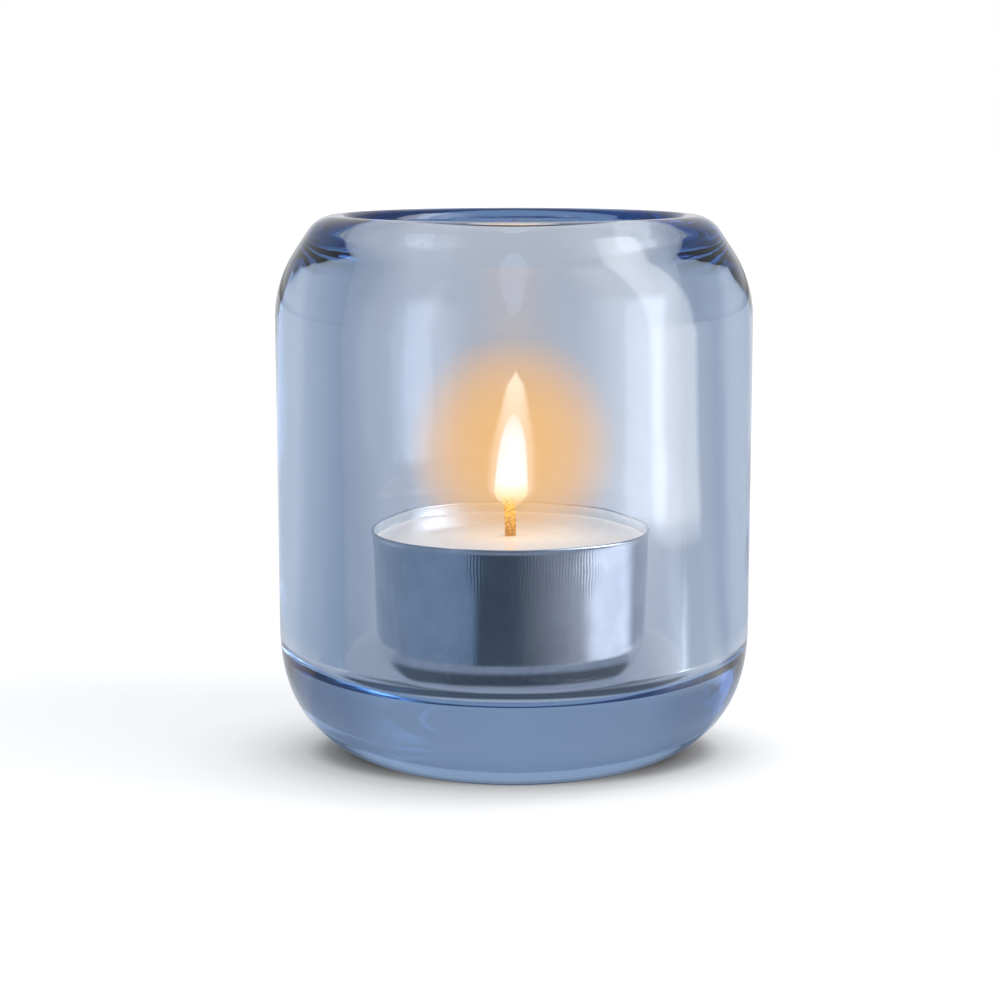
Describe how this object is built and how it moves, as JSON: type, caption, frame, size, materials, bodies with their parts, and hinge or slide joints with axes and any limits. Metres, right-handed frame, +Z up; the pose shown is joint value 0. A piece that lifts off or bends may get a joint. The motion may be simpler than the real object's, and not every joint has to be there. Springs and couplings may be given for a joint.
{
  "type": "glass tealight holder with tealight",
  "caption": "Thick-walled round glass candle holder with tapered shoulder and rounded heavy base, holding a lift-out aluminium-cup tealight.",
  "frame": {"origin": "centre of the flat base that the glass stands on", "axes": "+Z up along the axis of the glass, towards its mouth; the candle stands 0.5 mm off the axis, towards -X"},
  "size_m": [0.0644, 0.0644, 0.074],
  "materials": {
    "blue_glass": "clear polished glass, grey-blue through the melt",
    "cup_aluminium": "drawn thin sheet, fine upright draw lines",
    "candle_wax": "white paraffin wax, glossy where it has melted",
    "cotton_wick": "braided cotton, charred at the tip",
    "tinned_steel": "thin tinned sheet"
  },
  "bodies": {
    "holder": {"glass_holder": "blue_glass"},
    "tealight": {"tealight_cup": "cup_aluminium", "wax": "candle_wax", "wick": "cotton_wick", "wick_sustainer": "tinned_steel"}
  },
  "joints": [
    {"name": "tealight_lift", "type": "slide", "parent": "holder", "child": "tealight", "axis": [0, 0, 1], "range_m": [0, 0.08]}
  ]
}
